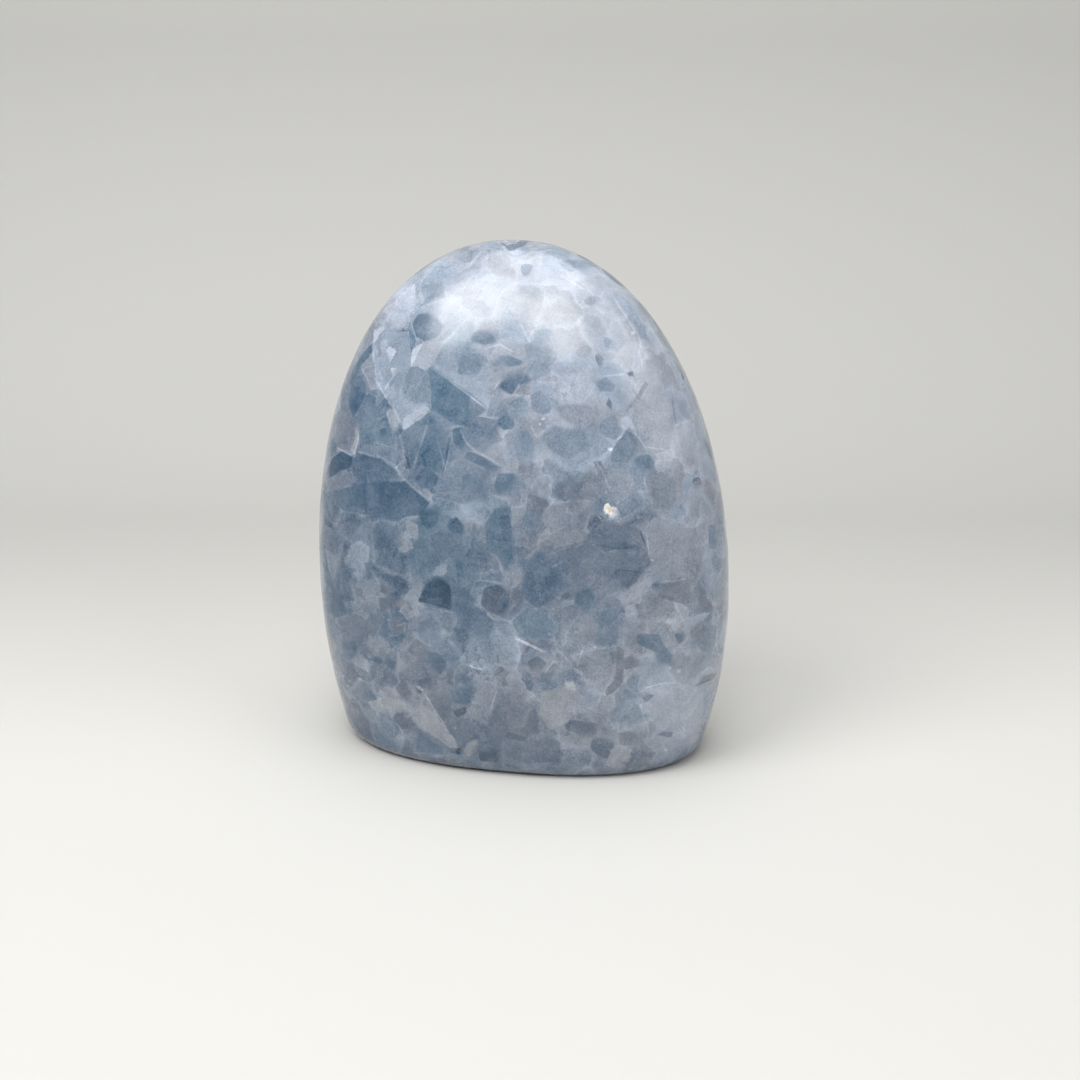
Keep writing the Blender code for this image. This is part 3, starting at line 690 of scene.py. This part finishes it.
def lay_grain(sheets, patch, outline, tones, hue, softness, crisp_side):
    """Writes one grain into the lowest sheet above all the grains that it touches.

    Each point of a sheet holds the depth inside its nearest grain, and that grain's tone, hue and
    softness. The tone runs evenly from the outline's first corner to the corner farthest from it.
    The softness is least on the grain's crisp side, and is at most a share of the grain's depth.
    A grain that would need one more sheet is left out.
    """
    which, places = patch
    low, high = outline.min(axis=0) - GRAIN_REACH, outline.max(axis=0) + GRAIN_REACH
    near = np.all((places > low) & (places < high), axis=-1)
    which, places = which[near], places[near]
    depth = outline_depth(outline, places)
    touched = [level for level, sheet in enumerate(sheets)
               if np.any(np.minimum(sheet[which, 0], depth) > -GRAIN_GAP)]
    level = max(touched, default=-1) + 1
    if level >= len(sheets):
        return
    spans = outline - outline[0]
    longest = spans[np.argmax(np.linalg.norm(spans, axis=-1))]
    share = np.clip((places - outline[0]) @ longest / (longest @ longest), 0.0, 1.0)
    tone = tones[0] + (tones[1] - tones[0]) * share
    offset = places - outline.mean(axis=0)
    turn = np.arctan2(offset[:, 1], offset[:, 0]) - crisp_side
    softness = min(softness, GREATEST_SOFT_SHARE * depth.max())
    borders = softness * np.exp(-SOFTNESS_SPREAD * np.cos(turn))
    grain = np.stack([depth, tone, np.full_like(tone, hue), borders], axis=-1)
    closer = depth > sheets[level][which, 0]
    sheets[level][which[closer]] = grain[closer]


def lay_line(sheets, patch, path, half_width, brightness):
    """Writes one bright or dark line along a path into the first sheet with room for it.

    Each point of a sheet holds the distance across the nearest stretch of the path in half widths,
    the distance along the path from its middle in half lengths, and the line's brightness.
    """
    which, places = patch
    nearest = np.full(len(places), np.inf)
    across, along = np.zeros_like(nearest), np.zeros_like(nearest)
    run = 0.0
    for start, end in zip(path[:-1], path[1:]):
        length = np.linalg.norm(end - start)
        way = (end - start) / length
        offset = places - start
        beyond = np.linalg.norm(offset - np.clip(offset @ way, 0.0, length)[:, None] * way, axis=-1)
        closer = beyond < nearest
        nearest[closer] = beyond[closer]
        across[closer] = (offset @ np.array([-way[1], way[0]]))[closer]
        along[closer] = (run + offset @ way)[closer]
        run += length
    stretch = max(run / 2, half_width)
    line = np.stack([across / half_width, (along - run / 2) / stretch, np.full_like(along, brightness)], axis=-1)
    for sheet in sheets:
        if np.all(sheet[which[nearest < LINE_GAP], 1] >= NO_LINE):
            near = nearest < LINE_REACH
            sheet[which[near], :3] = line[near]
            return


def facing_camera(points, normals):
    place = camera_axes()[0]
    return np.einsum("ij,ij->i", normals, unit(place - points))


def photo_patch(points, normals):
    """The points that the camera sees, and their places in the photo's frame."""
    which = np.flatnonzero(facing_camera(points, normals) > LEAST_FACING)
    return which, photo_places(points[which])


def skin_patch(points, normals, middle, reach):
    """The points near one point of the skin, and their places on the plane that touches it there."""
    outward = normals[middle]
    across = unit(np.cross(outward, [0.3, 0.2, 1.0]))
    offset = points - points[middle]
    which = np.flatnonzero((np.linalg.norm(offset, axis=-1) < reach) & (normals @ outward > 0.2))
    return which, np.stack([offset[which] @ across, offset[which] @ np.cross(outward, across)], axis=-1)


def lay_photo_marks(points, normals, grains, lines):
    patch = photo_patch(points, normals)
    dice = np.random.default_rng(SCATTER_SEED)
    for _, words, *corners in SHARDS:
        first, second, hue, *crisp = words.split()
        outline = np.array(corners, dtype=float).reshape(-1, 2) * PIXEL
        crisp_side = dice.uniform(-math.pi, math.pi)
        softness = CRISP_SOFTNESS if crisp else SHARD_SOFTNESS
        lay_grain(grains, patch, outline, (TONES[first], TONES[second]), HUES[hue], softness, crisp_side)
    for brightness, half_width, *path in HAIRLINES:
        path = np.array(path, dtype=float).reshape(-1, 2) * PIXEL
        lay_line(lines, patch, path, half_width * PIXEL, brightness)
    # painted glints and painted shade in small pits, laid as short lines
    for brightness, half_size, x, y in PAINTED_GLINTS_AND_PITS:
        path = np.array([(x - half_size, y), (x + half_size, y)]) * PIXEL
        lay_line(lines, patch, path, half_size * PIXEL, brightness)


def scatter_marks(points, normals, grains, lines):
    """Lays grains and lines of chance shapes wherever the photo's own don't reach."""
    dice = np.random.default_rng(SCATTER_SEED)
    facing = facing_camera(points, normals)
    hidden = np.flatnonzero((facing < 0.25) & (points[:, 2] > 0.0))
    words = list(TONES.values())
    for _ in range(SCATTERED_GRAINS):
        middle = dice.choice(hidden)
        size = dice.uniform(1.6, 4.6) * MM
        squash = dice.uniform(0.45, 1.0)
        lean = dice.uniform(0.0, math.pi)
        corners = dice.integers(5, 9)
        angles = (np.arange(corners) + dice.uniform(-0.3, 0.3, corners)) * 2 * math.pi / corners
        radii = size * dice.uniform(0.75, 1.15, corners)
        flat = np.stack([radii * np.cos(angles), radii * np.sin(angles) * squash], axis=-1)
        spin = np.array([[math.cos(lean), math.sin(lean)], [-math.sin(lean), math.cos(lean)]])
        first = dice.choice(words[1:8], p=(0.10, 0.22, 0.20, 0.14, 0.14, 0.13, 0.07))
        second = first + dice.uniform(-0.04, 0.07)
        hue = dice.choice(list(HUES.values()), p=(0.02, 0.05, 0.17, 0.24, 0.32, 0.20))
        patch = skin_patch(points, normals, middle, 2.2 * size)
        softness = dice.uniform(0.25, 0.7) * MM
        lay_grain(grains, patch, flat @ spin, (first, second), hue, softness, lean)
    for _ in range(SCATTERED_LINES):
        middle = dice.choice(hidden)
        half = dice.uniform(0.3, 2.4) * MM
        lean = dice.uniform(0.0, math.pi)
        path = np.array([(-half, 0.0), (half * dice.uniform(-0.4, 0.4), half * dice.uniform(-0.3, 0.3)), (half, 0.0)])
        path = path @ np.array([[math.cos(lean), math.sin(lean)], [-math.sin(lean), math.cos(lean)]])
        brightness = dice.choice([0.35, 0.5, 0.8, -0.5])
        patch = skin_patch(points, normals, middle, 3 * half + LINE_GAP)
        lay_line(lines, patch, path, dice.uniform(0.15, 0.3) * MM, brightness)


def zone_shifts(points, normals):
    """Broad shifts of tone and hue: each zone of the front fades as a bell curve from its middle."""
    shifts = np.zeros((len(points), 4))
    which, places = photo_patch(points, normals)
    fade = np.clip((facing_camera(points, normals)[which] - LEAST_FACING) / 0.25, 0.0, 1.0)
    for _, tone, hue, x, y, reach_x, reach_y in ZONES:
        gap = (places / PIXEL - (x, y)) / (reach_x, reach_y)
        share = np.exp(-(gap ** 2).sum(axis=-1)) * fade
        shifts[which, 0] += tone * share
        shifts[which, 1] += hue * share
    return shifts


def paint_marks(mesh):
    """Keeps the grains, the lines and the zones as colour attributes of the stone's points."""
    count = len(mesh.vertices)
    flat = np.empty(count * 3)
    mesh.vertices.foreach_get("co", flat)
    points = flat.reshape(-1, 3).copy()
    mesh.vertices.foreach_get("normal", flat)
    normals = flat.reshape(-1, 3).copy()
    grains = [np.tile([BARE, 0.0, 0.0, MM], (count, 1)) for _ in range(GRAIN_SHEETS)]
    lines = [np.tile([NO_LINE, NO_LINE, 0.0, 0.0], (count, 1)) for _ in range(LINE_SHEETS)]
    lay_photo_marks(points, normals, grains, lines)
    scatter_marks(points, normals, grains, lines)
    layers = {f"grains_{level}": sheet for level, sheet in enumerate(grains)}
    layers.update({f"lines_{level}": sheet for level, sheet in enumerate(lines)})
    layers["zones"] = zone_shifts(points, normals)
    for name, layer in layers.items():
        if name.startswith("grains"):
            layer = layer * (1 / MM, 1.0, 1.0, 1 / MM)
        attribute = mesh.attributes.new(name, "FLOAT_COLOR", "POINT")
        attribute.data.foreach_set("color", layer.astype(np.float32).ravel())


class Wire:
    """An output socket of a node tree. Arithmetic on it adds Math nodes, and node adds any other."""

    def __init__(self, tree, socket=None):
        self.tree = tree
        self.socket = socket

    def node(self, kind, settings=None, inputs=None, output=0):
        """Adds a node: its settings first, then the values or wires of its sockets."""
        made = self.tree.nodes.new(kind)
        for name, value in (settings or {}).items():
            if name == "stops":
                fill_ramp(made.color_ramp, value)
            else:
                setattr(made, name, value)
        for name, value in (inputs or {}).items():
            if isinstance(value, Wire):
                self.tree.links.new(value.socket, made.inputs[name])
            else:
                made.inputs[name].default_value = value
        return Wire(self.tree, made.outputs[output])

    def out(self, name):
        """Another output of the node that this wire comes from."""
        return Wire(self.tree, self.socket.node.outputs[name])

    def split(self):
        """The red, green and blue of a colour."""
        return self.node("ShaderNodeSeparateColor", inputs={"Color": self}, output="Red")

    def attribute(self, name):
        return self.node("ShaderNodeAttribute", {"attribute_name": name}, output="Color")

    def math(self, operation, first, second=0.0):
        return self.node("ShaderNodeMath", {"operation": operation}, {0: first, 1: second})

    def vector_math(self, operation, inputs, output=0):
        return self.node("ShaderNodeVectorMath", {"operation": operation}, inputs, output)

    def __add__(self, other):
        return self.math("ADD", self, other)

    __radd__ = __add__

    def __sub__(self, other):
        return self.math("SUBTRACT", self, other)

    def __rsub__(self, other):
        return self.math("SUBTRACT", other, self)

    def __mul__(self, other):
        return self.math("MULTIPLY", self, other)

    __rmul__ = __mul__

    def __truediv__(self, other):
        return self.math("DIVIDE", self, other)

    def __pow__(self, other):
        return self.math("POWER", self, other)

    def __abs__(self):
        return self.math("ABSOLUTE", self)

    def above(self, low, high):
        """Rises smoothly from 0 at low to 1 at high."""
        return self.node(
            "ShaderNodeMapRange",
            {"interpolation_type": "SMOOTHSTEP"},
            {"Value": self, "From Min": low, "From Max": high},
        )

    def towards(self, other, share):
        """This value mixed with another."""
        return self.node("ShaderNodeMix", {"data_type": "FLOAT"}, {"Factor": share, "A": self, "B": other})


def fill_ramp(ramp, stops):
    while len(ramp.elements) < len(stops):
        ramp.elements.new(0.5)
    for element, (position, colour) in zip(ramp.elements, stops):
        element.position = position
        element.color = (*colour, 1.0)


def new_material(name):
    """A material with its Principled shader, and a wire that starts its node tree."""
    material = bpy.data.materials.new(name)
    material.use_nodes = True
    tree = material.node_tree
    return material, tree.nodes["Principled BSDF"], Wire(tree)


def link(wire, shader, socket):
    wire.tree.links.new(wire.socket, shader.inputs[socket])


def noise(start, place, size, detail=2.0, roughness=0.5, distortion=0.0):
    """Soft noise from 0 to 1, with lumps of about the size."""
    return start.node(
        "ShaderNodeTexNoise",
        {"noise_dimensions": "3D"},
        {"Vector": place, "Scale": 1 / size, "Detail": detail, "Roughness": roughness, "Distortion": distortion},
    )


def cells(start, place, size, feature="F1"):
    """Voronoi cells of about the size."""
    return start.node(
        "ShaderNodeTexVoronoi",
        {"voronoi_dimensions": "3D", "feature": feature},
        {"Vector": place, "Scale": 1 / size},
    )


def pushed(start, place, push, reach):
    """The place pushed about by a noise's colour, by up to half the reach each way."""
    centred = start.vector_math("SUBTRACT", {0: push.out("Color"), 1: (0.5, 0.5, 0.5)})
    return start.vector_math("MULTIPLY_ADD", {0: centred, 1: (reach, reach, reach), 2: place})


def slope(start, place, cell, size):
    """How far the place is from its cell's point, along a direction that the cell's colour gives."""
    offset = start.vector_math("SUBTRACT", {0: place, 1: cell.out("Position")})
    heading = start.vector_math("SUBTRACT", {0: cell.out("Color"), 1: (0.5, 0.5, 0.5)})
    return start.vector_math("DOT_PRODUCT", {0: offset, 1: heading}, "Value") * (1 / size)


def calcite_material():
    material, shader, start = new_material("blue_calcite")
    place = start.node("ShaderNodeTexCoord", output="Object")

    # Coloured noises that push the grains out of shape and cloud them
    swirl = noise(start, place, 7.0 * MM, 2.0)
    ragged = noise(start, place, 1.5 * MM, 3.0, 0.6)
    grain_place = pushed(start, pushed(start, place, swirl, 6.0 * MM), ragged, 0.9 * MM)
    wisps = noise(start, grain_place, 4.5 * MM, 5.0, 0.62)
    mottle = wisps.out("Color").split()
    speck = noise(start, place, 0.36 * MM, 1.0)

    # Grains under the polish: each has its own tone and slope of tone, and pales towards its border
    big_cells = cells(start, grain_place, BIG_GRAIN)
    big = big_cells.out("Color").split()
    big_slope = slope(start, grain_place, big_cells, BIG_GRAIN)
    border = cells(start, grain_place, BIG_GRAIN, "DISTANCE_TO_EDGE") * (BIG_GRAIN / MM)
    small_place = pushed(start, place, ragged, 2.2 * MM)
    small_cells = cells(start, small_place, SMALL_GRAIN)
    small = small_cells.out("Color").split()
    small_slope = slope(start, small_place, small_cells, SMALL_GRAIN)
    streaks = start.node(
        "ShaderNodeTexNoise",
        {"noise_dimensions": "1D"},
        {"W": big_slope * 9.0 + ragged * 1.2, "Scale": 2.2, "Detail": 2.0, "Roughness": 0.6},
    )

    # The zones' shift of tone and hue: the stone's own broad tone, with a painted highlight over the crown and painted
    # shade down the left flank
    zone = start.attribute("zones").split()
    cloud = mottle.out("Green")
    heart = start.math("DIVIDE", border, 0.5 + cloud.above(0.35, 0.65) * 2.0).above(0.0, 1.0)
    web = (1 - border.above(0.0, 0.55)) * mottle.out("Blue").above(0.42, 0.62)
    texture = (wisps - 0.5) * 0.21 + (ragged - 0.5) * 0.10 + (speck - 0.5) * 0.17
    texture = texture + (streaks - 0.5) * small.out("Blue").above(0.2, 0.9) * 0.22
    tone = 0.535 + (big.out("Red") - 0.5) * 0.08 + big_slope * 0.10 - heart * 0.050
    tone = tone + (small.out("Red") - 0.5) * 0.04 + small_slope * 0.06 + web * 0.03
    tone = tone + zone.out("Red") + texture
    hue = 0.52 + big.out("Green") ** 2 * 0.34 + (small.out("Green") - 0.5) * 0.12 + zone.out("Green")

    # Grains that stand out, sheet over sheet: crisp here and cloudy there, with milk round them
    grain_texture = texture * 0.85 + zone.out("Red") * 0.4
    fray = (ragged - 0.5) * 0.6 + (wisps - 0.5) * 0.8 + (speck - 0.5) * 0.5
    spread = 0.4 + swirl.above(0.35, 0.65) * 1.8
    bare = 1.0
    for level in range(GRAIN_SHEETS):
        sheet = start.attribute(f"grains_{level}")
        part = sheet.split()
        depth = part.out("Red") + fray * (0.35 + sheet.out("Alpha"))
        milk = depth.above(-1.0, -0.1) * cloud.above(0.40, 0.60) * bare
        tone = tone.towards(0.57 + texture, milk * 0.20)
        cover = start.math("DIVIDE", depth, sheet.out("Alpha") * spread).above(-0.8, 0.9)
        tone = tone.towards(part.out("Green") + grain_texture, cover * 0.92)
        bare = (1 - cover) * bare
        rim = depth.above(-0.22, -0.02) * (1 - depth.above(0.02, 0.25))
        tone = tone + rim * mottle.out("Red").above(0.42, 0.66) * 0.038
        hue = hue.towards(part.out("Blue"), cover * 0.9)

    # Milky veils over all of them, then hairlines, painted glints and painted shade in pits
    veil = cloud.above(0.48, 0.72)
    # Where the zones are lighter the grains are evened out towards a pale tone: over the crown a painted highlight
    # washing them out, elsewhere the stone's own pale zones
    calm = zone.out("Red").above(0.02, 0.09) * bare
    tone = tone + (0.565 + zone.out("Red") * 0.8 - tone) * (veil * (0.26 + bare * 0.20) + calm * 0.35)
    cracks_and_painted_glints = 0.0
    for level in range(LINE_SHEETS):
        part = start.attribute(f"lines_{level}").split()
        across = 1 - abs(part.out("Red")).above(0.3, 1.25)
        along = 1 - abs(part.out("Green")).above(0.7, 1.15)
        cracks_and_painted_glints = across * along * part.out("Blue") + cracks_and_painted_glints
    tone = tone + cracks_and_painted_glints * (0.06 + wisps * 0.16)

    # Colour: the tint of the hue at the tone's own brightness. Darker is bluer.
    hue = hue + (0.49 - tone) * 0.8
    dark_tint = start.node("ShaderNodeValToRGB", {"stops": DARK_TINTS}, {"Fac": hue})
    pale_tint = start.node("ShaderNodeValToRGB", {"stops": PALE_TINTS}, {"Fac": hue})
    tint = start.node(
        "ShaderNodeMix", {"data_type": "RGBA"}, {"Factor": tone.above(0.26, 0.56), 6: dark_tint, 7: pale_tint}, 2
    )
    light = start.math("MAXIMUM", tone, 0.28) ** 2.2 * (TINT_SCALE * BASE_GAIN)
    lit = start.vector_math("SCALE", {0: tint, "Scale": light})
    colour = start.vector_math("SUBTRACT", {0: lit, 1: (GLOSS_VEIL, GLOSS_VEIL, GLOSS_VEIL)})
    link(colour, shader, "Base Color")

    link(0.23 + (big.out("Blue") - 0.5) * 0.10 + (ragged - 0.5) * 0.1, shader, "Roughness")
    link(0.42 + (big.out("Blue") - 0.5) * 0.2, shader, "Coat Weight")
    shader.inputs["Coat Roughness"].default_value = 0.15
    shader.inputs["IOR"].default_value = 1.46
    bump = start.node(
        "ShaderNodeBump", inputs={"Height": ragged, "Strength": 0.2, "Distance": 0.05 * MM}, output="Normal"
    )
    link(bump, shader, "Normal")
    return material


def dressed_stone():
    points, rings = stone_points()
    corners, starts = stone_faces(rings)
    mesh = filled_mesh("polished_stone", points, corners, starts)
    paint_marks(mesh)
    mesh.materials.append(calcite_material())
    stone = bpy.data.objects.new("polished_stone", mesh)
    bpy.context.scene.collection.objects.link(stone)
    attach(stone, "root")
    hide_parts(NODE)


def backdrop():
    """A floor that sweeps up into a wall: one profile of two straights and a quarter circle."""
    turn = np.linspace(0.0, math.pi / 2, SWEEP_STEPS)
    sweep = np.stack([SWEEP_START + SWEEP_RADIUS * np.sin(turn), SWEEP_RADIUS * (1.0 - np.cos(turn))], axis=-1)
    profile = np.concatenate([[(-STAGE_REACH, 0.0)], sweep, [(SWEEP_START + SWEEP_RADIUS, STAGE_REACH)]])
    _, right, _, _ = camera_axes()
    ahead = np.array([-right[1], right[0], 0.0])
    sides = np.array([-STAGE_REACH, STAGE_REACH])
    points = (
        profile[:, None, :1] * ahead
        + profile[:, None, 1:] * np.array([0.0, 0.0, 1.0])
        + sides[None, :, None] * right
    )
    row = np.arange(len(profile) - 1)[:, None] * 2
    corners = (row + np.array([0, 1, 3, 2])).ravel()
    mesh = filled_mesh("backdrop", points.reshape(-1, 3), corners, np.arange(len(profile) - 1) * 4)
    material, shader, start = new_material("studio_paper")
    place = start.node("ShaderNodeTexCoord", output="Object").split()
    behind = place.out("Red") * float(ahead[0]) + place.out("Green") * float(ahead[1])
    # painted shade on the paper behind the stone
    shade = 1 - behind.above(SHADE_START, SHADE_END) * PAINTED_PAPER_SHADE
    link(start.vector_math("SCALE", {0: PAPER_COLOUR, "Scale": shade}), shader, "Base Color")
    shader.inputs["Roughness"].default_value = 0.9
    shader.inputs["Specular IOR Level"].default_value = 0.2
    mesh.materials.append(material)
    paper = bpy.data.objects.new("backdrop", mesh)
    bpy.context.scene.collection.objects.link(paper)


def soft_light(name, azimuth, elevation, distance, size, power):
    """A round light that faces the stone from an azimuth and elevation in degrees."""
    lamp = bpy.data.lights.new(name, "AREA")
    lamp.shape = "DISK"
    lamp.size = size
    lamp.energy = power
    lamp.color = LIGHT_COLOUR
    way = Vector(direction(np.float64(math.radians(azimuth - 90.0)), np.float64(math.radians(elevation))))
    holder = bpy.data.objects.new(name, lamp)
    holder.location = Vector((0.0, 0.0, HEIGHT / 2)) + way * distance
    holder.rotation_euler = way.to_track_quat("Z", "Y").to_euler()
    bpy.context.scene.collection.objects.link(holder)


def studio():
    backdrop()
    for lamp in SOFT_LIGHTS:
        soft_light(*lamp)
    world = bpy.data.worlds.new("studio")
    world.use_nodes = True
    sky = world.node_tree.nodes["Background"]
    sky.inputs["Color"].default_value = SKY_COLOUR
    sky.inputs["Strength"].default_value = SKY_STRENGTH
    bpy.context.scene.world = world
    bpy.context.scene.view_settings.view_transform = "Standard"


def photo_camera():
    place, _, _, back = camera_axes()
    lens = bpy.data.cameras.new("camera")
    lens.sensor_width = SENSOR_WIDTH
    lens.lens = SENSOR_WIDTH / 2 / math.tan(math.radians(FIELD_OF_VIEW) / 2)
    lens.clip_start = 10.0 * MM
    camera = bpy.data.objects.new("camera", lens)
    camera.location = place
    camera.rotation_euler = Vector(-back).to_track_quat("-Z", "Y").to_euler()
    bpy.context.scene.collection.objects.link(camera)
    bpy.context.scene.camera = camera


photo_camera()
studio()
dressed_stone()
